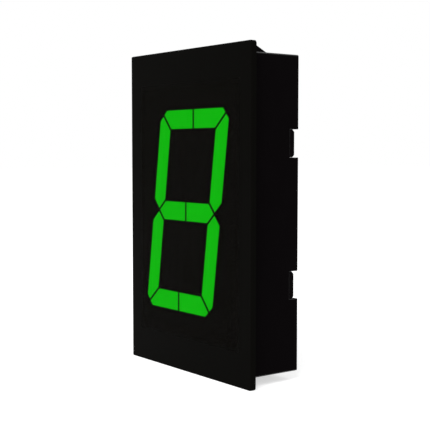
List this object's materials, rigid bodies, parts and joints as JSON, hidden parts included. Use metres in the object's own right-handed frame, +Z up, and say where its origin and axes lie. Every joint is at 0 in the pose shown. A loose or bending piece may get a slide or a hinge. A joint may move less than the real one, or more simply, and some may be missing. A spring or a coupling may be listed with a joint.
{
  "type": "sixteen-segment display",
  "caption": "Panel-mounted character display: slanted bar segments behind a flanged smoked front, on a shallow snap-in case with rear plug headers.",
  "frame": {"origin": "centre of the panel seat, which is the back face of the front cover's flange", "axes": "+Y from the front towards the back, the way the case goes into the panel; +Z up the character; +X to the right seen from the front"},
  "size_m": [0.0572, 0.0199, 0.0902],
  "materials": {
    "smoked_front": "smoked polycarbonate, smooth and glossy",
    "case_plastic": "black moulded plastic with a fine spark-eroded texture",
    "reflector_plastic": "black moulded plastic",
    "lit_segment": "translucent green resin, lit",
    "dark_segment": "translucent resin, unlit and dark behind the smoked front",
    "circuit_board": "green solder resist on glass epoxy",
    "light_chip": "ceramic base with a clear resin lens",
    "chip_package": "black moulded epoxy",
    "tantalum_case": "yellow moulded epoxy",
    "plated_metal": "nickel plated",
    "resistor_body": "black glazed film on ceramic",
    "capacitor_body": "unglazed tan ceramic",
    "header_plastic": "black glass-filled plastic",
    "header_pin": "gold plated",
    "screw_steel": "zinc plated"
  },
  "bodies": {
    "root": {"front_cover": "smoked_front", "case": "case_plastic", "rear_cover": "case_plastic", "cover_screws": "screw_steel", "reflector": "reflector_plastic", "segment_a1": "lit_segment", "segment_a2": "lit_segment", "segment_b": "lit_segment", "segment_c": "lit_segment", "segment_d1": "lit_segment", "segment_d2": "lit_segment", "segment_e": "lit_segment", "segment_f": "lit_segment", "segment_g1": "lit_segment", "segment_g2": "lit_segment", "segment_h": "dark_segment", "segment_i": "dark_segment", "segment_j": "dark_segment", "segment_k": "dark_segment", "segment_l": "dark_segment", "segment_m": "dark_segment", "light_chips": "light_chip", "main_board": "circuit_board", "microcontroller": "chip_package", "left_driver": "chip_package", "right_driver": "chip_package", "voltage_regulator": "chip_package", "reservoir_capacitor": "tantalum_case", "input_diode": "chip_package", "resonator": "plated_metal", "segment_resistors": "resistor_body", "bypass_capacitors": "capacitor_body", "input_header_shroud": "header_plastic", "input_header_pins": "header_pin", "output_header_shroud": "header_plastic", "output_header_pins": "header_pin"}
  },
  "joints": []
}
